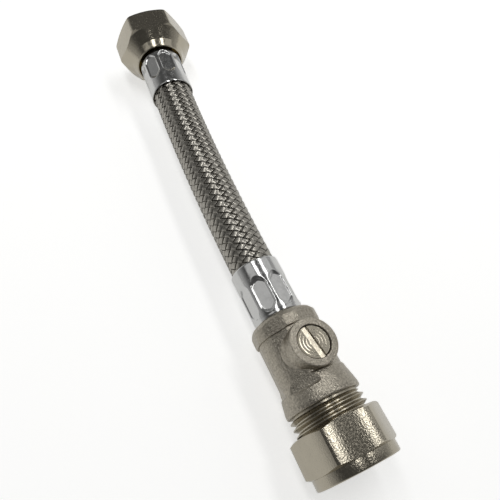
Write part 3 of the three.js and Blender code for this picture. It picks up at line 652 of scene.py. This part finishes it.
def build_valve_body(valve, colours):
    shoulder = valve["shoulder"]
    end = valve["body_end"]
    limit = valve["round_radius"]
    shoulder_radius = 10.75
    body = bar("valve_body_forged", [
        (shoulder, shoulder_radius, 0.45),
        (shoulder + 1.3, shoulder_radius, 0.8),
        (valve["flare_end"], valve["waist_radius"] + 0.4, 0.25),
        (valve["flare_end"] + 0.5, valve["waist_radius"], 0.4),
        (valve["collar_start"] + 0.5, valve["waist_radius"]),
    ], 128)
    half = valve["side_flats"] / 2
    sides = block("side_flats", (shoulder + 3, -half, -20), (end, half, 20))
    sides.data.transform(Matrix.Rotation(-valve["boss_turn"], 4, "X"))
    sides.data.update()
    combine(sides, bar("flare", [(shoulder - 1, 12), (shoulder + 3, 12), (shoulder + 6, half)], 64), "UNION")
    combine(body, sides, "INTERSECT")
    collar = crowned_bar("collar", 6, valve["flats"], valve["collar_start"], end, 0.1, limit)
    collar_facing = valve["collar_turn"] - valve["boss_turn"]
    collar.data.transform(Matrix.Rotation(collar_facing, 4, "X"))
    combine(collar, bar("collar_ends", [
        (valve["collar_start"], limit - 0.1, 0.4),
        (valve["collar_start"] + 0.8, limit),
        (end - 1.4, limit),
        (end, limit - 1, 0.5),
    ], 128), "INTERSECT")
    combine(body, collar, "UNION")
    low = valve["recess_height"]
    first = valve["recess_start"]
    recess = block("recess", (first, -30, low), (valve["collar_start"], 30, 30))
    edit(recess, lambda: pick(recess, lambda mesh: [
        e for e in mesh.edges if all(abs(v.co.x - first) + abs(v.co.z - low) < 0.01 for v in e.verts)]),
         lambda: bpy.ops.mesh.bevel(offset=1.0, segments=8, affect="EDGES"))
    recess.data.transform(Matrix.Rotation(collar_facing, 4, "X"))
    combine(body, recess, "DIFFERENCE")
    height = valve["boss_height"]
    radius = valve["boss_radius"]
    boss = bar("boss", [
        (3, radius + 1.3),
        (6.0, radius + 0.7, 2.0),
        (7.4, radius + 0.1, 1.5),
        (height - 0.9, radius, 0.5),
        (height, radius, 0.3),
    ])
    boss.data.transform(boss_place(valve))
    combine(body, boss, "UNION")
    thread = helical("inlet_thread", valve, valve["body_start"], shoulder + 0.5)
    root = valve["thread_radius"] - valve["thread_depth"]
    combine(thread, bar("thread_ends", [
        (valve["body_start"], root),
        (valve["body_start"] + 1.2, root + 1.2),
        (shoulder - 1.2, root + 1.3),
        (shoulder - 0.55, root + 0.1),
        (shoulder + 0.5, root + 0.1),
    ]), "INTERSECT")
    combine(body, thread, "UNION")
    socket_radius, socket_end = 7.65, 17.2
    passage_radius = 5
    chamber_radius, chamber_start = 6.9, 24.94
    combine(body, bar("waterway", [
        (valve["body_start"] - 1, 9.54),
        (valve["body_start"] + 1.7, socket_radius),
        (socket_end, socket_radius),
        (socket_end, passage_radius),
        (chamber_start, passage_radius),
        (chamber_start, chamber_radius),
        (end + 1, chamber_radius),
    ], 64), "DIFFERENCE")
    hole = valve["spindle_radius"] + 0.15
    step_radius, step_height = 5.55, 8.35
    bore = bar("spindle_bore", [
        (0, step_radius),
        (step_height, step_radius),
        (step_height, hole),
        (height - 0.12, hole),
        (height + 0.5, hole + 0.62),
    ], 64)
    bore.data.transform(boss_place(valve))
    combine(body, bore, "DIFFERENCE")
    for face in body.data.polygons:
        if face.center.x < shoulder - 0.02:
            face.material_index = 1
    place = body_line(valve)
    materials = [forged_nickel(colours), turned_nickel(colours, place.translation, (1, 0, 0), 0.24)]
    settle(body, place, materials, "valve_end", ["valve_body"], smooth=12)


def build_spindle(valve, colours):
    head = valve["boss_height"] - 0.4
    radius = valve["spindle_radius"]
    # The turning tool left rings 0.9 mm apart, which are drawn 0.04 mm deep to show
    marks = []
    ring = 0.9
    depth = 0.04
    for i in range(int((radius - 0.5) / ring * 8), 0, -1):
        r = i * ring / 8
        marks.append((head - depth / 2 + depth / 2 * math.cos(r / ring * math.tau), r))
    flange_radius, flange_start, flange_end = 5.4, 7.05, 7.75
    groove_radius, groove_start, groove_end = 3.49, 8.42, 9.68
    spindle = bar("valve_spindle_slotted", [
        (flange_start, flange_radius, 0.1),
        (flange_end, flange_radius, 0.1),
        (flange_end, radius),
        (groove_start, radius),
        (groove_start, groove_radius),
        (groove_end, groove_radius),
        (groove_end, radius),
        (head - 0.12, radius),
        (head, radius - 0.14),
        *marks,
    ], 96)
    # The sawn floor of the slot leans a little, so it catches the light that the face misses
    slot = block("slot", (0, -valve["slot_width"] / 2, -8), (2, valve["slot_width"] / 2, 8))
    slot.data.transform(Matrix.Rotation(valve["slot_turn"], 4, "X")
                        @ Matrix.Translation((head - 0.75, 0, 0)) @ Matrix.Rotation(math.radians(8), 4, "Z"))
    combine(spindle, slot, "DIFFERENCE")
    for face in spindle.data.polygons:
        if face.normal.x > 0.97 and head - 1.2 < face.center.x < head - 0.3:
            face.material_index = 1
    tang = block("tang", (4.65, -1, -2.7), (7.35, 1, 2.7))
    tang.data.transform(Matrix.Rotation(valve["slot_turn"], 4, "X"))
    combine(spindle, tang, "UNION")
    place = body_line(valve) @ boss_place(valve)
    axis = (place.to_3x3() @ Vector((1, 0, 0))).normalized()
    materials = [turned_nickel(colours, place.translation, axis, share) for share in (0.13, 0.24)]
    settle(spindle, place, materials, "spindle", ["valve_spindle"])


def smooth_step(low, high, value):
    """Zero below the low value, one above the high one, and a soft change between them."""
    t = np.clip((value - low) / (high - low), 0, 1)
    return t * t * (3 - 2 * t)


def build_ferrule(name, hose, place, body, node, pocket_turn, colours):
    """A tube of sheet, hooked in at zero, with eight pressed pockets and a round bell."""
    radius = hose["ferrule_radius"]
    length = hose["ferrule_length"]
    ring = hose["pocket_start"]
    bell = hose["pocket_end"]
    rows = 101
    edge_radius = 7.4
    bpy.ops.object.select_all(action="DESELECT")
    bpy.ops.mesh.primitive_cylinder_add(vertices=384, radius=radius, depth=length, end_fill_type="NOTHING",
                                        location=(length / 2, 0, 0), rotation=(0, math.pi / 2, 0))
    obj = bpy.context.object
    obj.name = name
    bpy.ops.object.transform_apply(location=True, rotation=True, scale=True)
    # In edge mode the short edges stay out of the selection, so the tube is cut across only
    edit(obj, lambda: bpy.ops.mesh.select_mode(type="EDGE"), lambda: pick(obj, long_edges),
         lambda: bpy.ops.mesh.subdivide(number_cuts=rows - 1),
         lambda: bpy.ops.mesh.select_mode(type="VERT"))

    co = np.empty(len(obj.data.vertices) * 3)
    obj.data.vertices.foreach_get("co", co)
    co = co.reshape(-1, 3)
    share = co[:, 0] / length
    # The first rows make the hook: in to the tail's neck, then round the edge
    hook = np.array([(0.0, 5.15), (0.0, 6.6), (0.06, 6.95), (0.2, 7.2), (0.4, 7.34), (0.65, edge_radius)])
    row = np.round(share * rows).astype(int)
    x = np.interp(row, [len(hook) - 1, rows], [hook[-1, 0], length])
    base = edge_radius + (radius - edge_radius) * smooth_step(ring - 0.5, ring, x)
    base = base - 0.12 * smooth_step(length - 0.25, length, x)
    angle = np.arctan2(-co[:, 1], co[:, 2]) - pocket_turn
    step = math.tau / 8
    phi = (angle + step / 2) % step - step / 2
    floor = hose["pocket_radius"] / np.cos(phi)
    edge = math.radians(19.0)
    side = 1 - smooth_step(math.radians(15.5), edge, np.abs(phi))
    rounding = 2.0 * (1 - np.cos(np.clip(np.abs(phi) / edge, 0, 1) * math.pi / 2))
    ends = (smooth_step(ring - 0.2, ring + 0.7, x - rounding)
            * (1 - smooth_step(bell - 1.4, bell + 0.4, x + rounding)))
    r = base - (base - floor) * side * ends
    hooked = row < len(hook)
    x[hooked] = hook[row[hooked], 0]
    r[hooked] = hook[row[hooked], 1]
    theta = np.arctan2(co[:, 1], co[:, 2])
    obj.data.vertices.foreach_set("co", np.stack([x, r * np.sin(theta), r * np.cos(theta)], 1).ravel())
    obj.data.update()
    edit(obj, tidy_mesh)
    wall = obj.modifiers.new("Sheet", "SOLIDIFY")
    wall.thickness = hose["ferrule_wall"]
    wall.offset = -1
    apply(obj, wall)
    settle(obj, place, [pressed_stainless(colours)], body, [node], smooth=50)


def bowed(points, hose):
    """Line points of the straight hose, laid along its bow."""
    bow_radius = hose["visible"] / hose["bow"]
    x, y, z = points.T
    run = np.clip(x - hose["start"], 0, hose["visible"]) / bow_radius
    past = np.maximum(x - hose["start"] - hose["visible"], 0)
    base = np.minimum(x, hose["start"])
    return np.stack([base + (bow_radius + y) * np.sin(run) + past * np.cos(run),
                     (bow_radius + y) * np.cos(run) - bow_radius - past * np.sin(run), z], 1)


def blend_hose(obj):
    """Bakes the placing of a piece of the hose into its own mesh."""
    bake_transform(obj)


def build_liner(hose, colours):
    """Black rubber tube inside the braid."""
    hidden = 15.5
    hole, crushed, outside = 4.6, 5.4, 6.0
    start = hose["start"] - hidden
    end = hose["start"] + hose["visible"] + hidden
    stations = [hose["start"] + hose["visible"] * i / 40 for i in range(41)]
    outline = [(start, hole), (start, crushed)]
    outline += [(hose["start"] - 6, crushed), (hose["start"] - 2, outside)]
    outline += [(x, outside) for x in stations]
    outline += [(end - 13.5, outside), (end - 9.5, crushed), (end, crushed), (end, hole)]
    outline += [(x, hole) for x in reversed(stations)]
    obj = spun("hose_liner_rubber", outline, 64)
    co = np.array([v.co for v in obj.data.vertices])
    obj.data.vertices.foreach_set("co", bowed(co, hose).ravel())
    settle(obj, pipe_line(), [moulded("extruded_rubber", colours.rubber, 0.6, 0.3)], None,
           ["hose_liner"])
    blend_hose(obj)


def build_braid(name, hose, lean, material):
    """All ribbons that lean one way, each a flat row of wires that goes over one and under one."""
    ribbons = hose["ribbons"]
    step = math.tau / ribbons
    lead = step / hose["row_pitch"]
    wires = hose["wires"]
    wire = hose["ribbon_width"] / wires
    wave = 0.24
    squareness = 2.4
    tucked = 1.6
    middle = hose["braid_radius"] - wave - wire / 2
    tan_lean = middle * lead
    norm = math.hypot(1, tan_lean)
    # Across a ribbon: a crown for each wire and a valley beside it, then the flat back
    across = np.linspace(-hose["ribbon_width"] / 2, hose["ribbon_width"] / 2, 2 * wires + 1)
    height = np.where(np.arange(len(across)) % 2 == 1, wire / 2, wire * 0.36)
    across = np.concatenate([across, [across[-1] * 0.97, across[0] * 0.97]])
    height = np.concatenate([height, [-wire / 2, -wire / 2]])
    count = len(across)
    start = hose["start"] - tucked
    end = hose["start"] + hose["visible"] + tucked
    rows = int((end - start) / hose["row_pitch"] * 10)
    x = np.linspace(start, end, rows)[:, None]
    points = []
    faces = []
    for i in range(ribbons):
        theta = i * step + lean * lead * (x - hose["start"]) + across[None, :] / (norm * middle)
        along = x - lean * across[None, :] * tan_lean / norm
        crossing = theta + lean * lead * (along - hose["start"])
        over = np.cos(math.pi * (crossing / step - i)) * lean
        over = np.tanh(squareness * over) / np.tanh(squareness)
        r = middle + wave * over + height[None, :]
        base = len(points) * rows * count
        points.append(np.stack([along, -r * np.sin(theta), r * np.cos(theta)], 2).reshape(-1, 3))
        grid = base + np.arange(rows * count).reshape(rows, count)
        following = np.roll(grid, -1, axis=1)
        quads = np.stack([grid[:-1], grid[1:], following[1:], following[:-1]], 2).reshape(-1, 4)
        if lean < 0:
            quads = quads[:, ::-1]
        faces.extend(quads.tolist())
        faces.append(grid[0].tolist() if lean > 0 else grid[0][::-1].tolist())
        faces.append(grid[-1][::-1].tolist() if lean > 0 else grid[-1].tolist())
    obj = from_points(name, bowed(np.concatenate(points), hose).tolist(), [], faces)
    edit(obj, lambda: bpy.ops.mesh.normals_make_consistent(inside=False))
    settle(obj, pipe_line(), [material], None, ["hose_braid"], smooth=75)
    blend_hose(obj)


def light(name, place, target, shape, power):
    """Adds a soft rectangular lamp that looks at a point."""
    data = bpy.data.lights.new(name, "AREA")
    data.shape = "RECTANGLE"
    data.size, data.size_y = shape
    data.energy = power
    obj = bpy.data.objects.new(name, data)
    bpy.context.collection.objects.link(obj)
    obj.location = place
    obj.rotation_mode = "QUATERNION"
    obj.rotation_quaternion = (Vector(target) - Vector(place)).to_track_quat("-Z", "Y")


def build_stage(colours):
    """The floor, the world, the lamps and the camera that the photo was taken with."""
    bpy.ops.object.select_all(action="DESELECT")
    bpy.ops.mesh.primitive_grid_add(x_subdivisions=8, y_subdivisions=8, size=4, location=(0, 0, 0))
    floor = bpy.context.object
    floor.name = "studio_floor"
    material, tree, shader, place = new_material("painted_floor", 0.0, 0.9)
    shader.inputs["Specular IOR Level"].default_value = 0.0
    tinted(tree, shader, grain(tree, place, 40.0), shade_of(colours.floor, 0.99), colours.floor)
    # The picture sees the floor nearly white; the lamps on the object stay as they are
    path = add_node(tree, "ShaderNodeLightPath")
    seen = add_node(tree, "ShaderNodeMath", {0: path.outputs["Is Camera Ray"],
                                             1: path.outputs["Is Glossy Ray"]}, operation="MAXIMUM")
    extra = add_node(tree, "ShaderNodeMath", {0: path.outputs["Is Camera Ray"], 1: 0.2},
                     operation="MULTIPLY")
    lift = add_node(tree, "ShaderNodeMath", {0: seen.outputs[0], 1: 0.42, 2: extra.outputs[0]},
                    operation="MULTIPLY_ADD")
    shader.inputs["Emission Color"].default_value = (*colours.floor, 1)
    tree.links.new(lift.outputs[0], shader.inputs["Emission Strength"])
    floor.data.materials.append(material)

    world = bpy.data.worlds.new("studio")
    bpy.context.scene.world = world
    world.use_nodes = True
    tree = world.node_tree
    tree.nodes.clear()
    direction = add_node(tree, "ShaderNodeTexCoord").outputs["Generated"]
    up = add_node(tree, "ShaderNodeSeparateXYZ", {"Vector": direction}).outputs["Z"]
    # Darker overhead, where a camera and its operator stand, and light at the horizon
    height = add_node(tree, "ShaderNodeMapRange", {
        "Value": up, "From Min": 0.05, "From Max": 0.6, "To Min": 0.5, "To Max": 0.08},
        interpolation_type="SMOOTHSTEP").outputs["Result"]
    path = add_node(tree, "ShaderNodeLightPath")
    seen = add_node(tree, "ShaderNodeMath", {0: path.outputs["Is Camera Ray"],
                                             1: path.outputs["Is Transmission Ray"]}, operation="MAXIMUM")
    level = add_node(tree, "ShaderNodeMix", {0: seen.outputs[0], 2: height, 3: 1.0}, data_type="FLOAT")
    background = add_node(tree, "ShaderNodeBackground", {
        "Color": (*linear("#FFFFFF"), 1), "Strength": level.outputs[0]})
    output = add_node(tree, "ShaderNodeOutputWorld", {"Surface": background.outputs[0]})
    tree.nodes.active = output

    middle = (0, 0, 0.012)
    light("left_strip", (0.2, 0.03, 0.6), (0.2, 0.03, 0), (0.6, 0.08), 0.85)
    light("right_strip", (0.2, -0.31, 0.56), (0.2, 0, 0), (0.6, 0.08), 0.85)
    light("side_softbox", (0.12, -0.55, 0.42), middle, (0.5, 0.35), 0.3)
    light("far_softbox", (0.22, 0.32, 0.55), middle, (0.3, 0.3), 0.16)

    data = bpy.data.cameras.new("camera")
    data.sensor_width = 36
    data.lens = 35.88
    data.clip_start = 0.01
    camera = bpy.data.objects.new("camera", data)
    bpy.context.collection.objects.link(camera)
    right = Vector((-0.42657403, -0.90409726, 0.02540344))
    up = Vector((0.80685808, -0.36770287, 0.46236051))
    back = Vector((-0.40867689, 0.21772739, 0.88632837))
    turned = Matrix((right, up, back)).transposed().to_4x4()
    camera.matrix_world = Matrix.Translation(Vector((-78.9341, 34.2573, 146.7851)) * MM) @ turned
    bpy.context.scene.camera = camera
    bpy.context.scene.view_settings.view_transform = "Standard"


class CONNECTOR_OT_hidden(bpy.types.Operator):
    """Give the solids that stay inside the valve their finishes"""
    bl_idname = "connector.hidden"
    bl_label = "Inner pieces"

    def execute(self, context):
        colours = context.scene.connector_colours
        plastic = moulded("seat_plastic", colours.plastic, 0.45, 0.5)
        rubber = moulded("ring_rubber", colours.rubber, 0.5, 0.3)
        finishes = {
            "valve_ball": chromed_brass(colours),
            "inlet_ball_seat": plastic,
            "outlet_ball_seat": plastic,
            "spindle_thrust_washer": plastic,
            "spindle_o_ring": rubber,
            "valve_hose_tail": plain_brass(colours),
        }
        for node, material in finishes.items():
            obj = frame["nodes"][node]
            obj.data.materials.clear()
            obj.data.materials.append(material)
        return {"FINISHED"}


class CONNECTOR_OT_compression_nut(bpy.types.Operator):
    """Build the compression nut and its olive"""
    bl_idname = "connector.compression_nut"
    bl_label = "Compression nut"

    def execute(self, context):
        scene = context.scene
        build_compression_nut(sizes(scene.connector_nuts), sizes(scene.connector_valve),
                              scene.connector_colours)
        return {"FINISHED"}


class CONNECTOR_OT_swivel_nut(bpy.types.Operator):
    """Build the swivel nut for the tap, its washer and the tailpiece"""
    bl_idname = "connector.swivel_nut"
    bl_label = "Swivel nut"

    def execute(self, context):
        scene = context.scene
        build_swivel_nut(sizes(scene.connector_nuts), sizes(scene.connector_valve),
                         sizes(scene.connector_hose), scene.connector_colours)
        return {"FINISHED"}


class CONNECTOR_OT_valve(bpy.types.Operator):
    """Build the forged valve body and its slotted spindle"""
    bl_idname = "connector.valve"
    bl_label = "Valve"

    def execute(self, context):
        scene = context.scene
        valve = sizes(scene.connector_valve)
        build_valve_body(valve, scene.connector_colours)
        build_spindle(valve, scene.connector_colours)
        return {"FINISHED"}


class CONNECTOR_OT_ferrules(bpy.types.Operator):
    """Build the two crimped ferrules"""
    bl_idname = "connector.ferrules"
    bl_label = "Ferrules"

    def execute(self, context):
        scene = context.scene
        hose = sizes(scene.connector_hose)
        at_valve = pipe_line() @ Matrix.Translation((hose["start"] - hose["ferrule_length"], 0, 0))
        build_ferrule("valve_ferrule_pressed", hose, at_valve, "valve_end", "valve_ferrule",
                      math.radians(-20), scene.connector_colours)
        at_tap = (tap_line(hose) @ Matrix.Translation((hose["ferrule_length"], 0, 0))
                  @ Matrix.Rotation(math.pi, 4, "Y"))
        build_ferrule("tap_ferrule_pressed", hose, at_tap, "tap_end", "tap_ferrule",
                      math.radians(-11 + 180), scene.connector_colours)
        return {"FINISHED"}


class CONNECTOR_OT_hose(bpy.types.Operator):
    """Build the rubber liner and the two sets of wire ribbons of the braid"""
    bl_idname = "connector.hose"
    bl_label = "Braided hose"

    def execute(self, context):
        scene = context.scene
        hose = sizes(scene.connector_hose)
        build_liner(hose, scene.connector_colours)
        wire = drawn_wire(scene.connector_colours)
        build_braid("braid_right_ribbons", hose, 1, wire)
        build_braid("braid_left_ribbons", hose, -1, wire)
        return {"FINISHED"}


class CONNECTOR_OT_stage(bpy.types.Operator):
    """Build the floor, the soft lamps and the camera"""
    bl_idname = "connector.stage"
    bl_label = "Studio"

    def execute(self, context):
        build_stage(context.scene.connector_colours)
        return {"FINISHED"}


OPERATORS = (
    CONNECTOR_OT_stage,
    CONNECTOR_OT_hidden,
    CONNECTOR_OT_compression_nut,
    CONNECTOR_OT_swivel_nut,
    CONNECTOR_OT_valve,
    CONNECTOR_OT_ferrules,
    CONNECTOR_OT_hose,
)


class CONNECTOR_PT_pieces(bpy.types.Panel):
    """Lists the pieces of the connector"""
    bl_idname = "CONNECTOR_PT_pieces"
    bl_label = "Flexible tap connector"
    bl_space_type = "VIEW_3D"
    bl_region_type = "UI"
    bl_category = "Connector"

    def draw(self, context):
        for operator in OPERATORS:
            self.layout.operator(operator.bl_idname)
        for group in (context.scene.connector_nuts, context.scene.connector_valve,
                      context.scene.connector_hose, context.scene.connector_colours):
            for key in group.bl_rna.properties.keys():
                if key not in ("name", "rna_type"):
                    self.layout.prop(group, key)


GROUPS = {
    "connector_nuts": ConnectorNutSizes,
    "connector_valve": ConnectorValveSizes,
    "connector_hose": ConnectorHoseSizes,
    "connector_colours": ConnectorColours,
}


def register():
    for group in GROUPS.values():
        bpy.utils.register_class(group)
    for name, group in GROUPS.items():
        setattr(bpy.types.Scene, name, PointerProperty(type=group))
    for operator in OPERATORS:
        bpy.utils.register_class(operator)
    bpy.utils.register_class(CONNECTOR_PT_pieces)


def unregister():
    bpy.utils.unregister_class(CONNECTOR_PT_pieces)
    for operator in reversed(OPERATORS):
        bpy.utils.unregister_class(operator)
    for name in GROUPS:
        delattr(bpy.types.Scene, name)
    for group in reversed(GROUPS.values()):
        bpy.utils.unregister_class(group)


def main():
    register()
    bpy.ops.connector.stage()
    bpy.ops.connector.hidden()
    bpy.ops.connector.compression_nut()
    bpy.ops.connector.swivel_nut()
    bpy.ops.connector.valve()
    bpy.ops.connector.ferrules()
    bpy.ops.connector.hose()


if __name__ == "__main__":
    main()
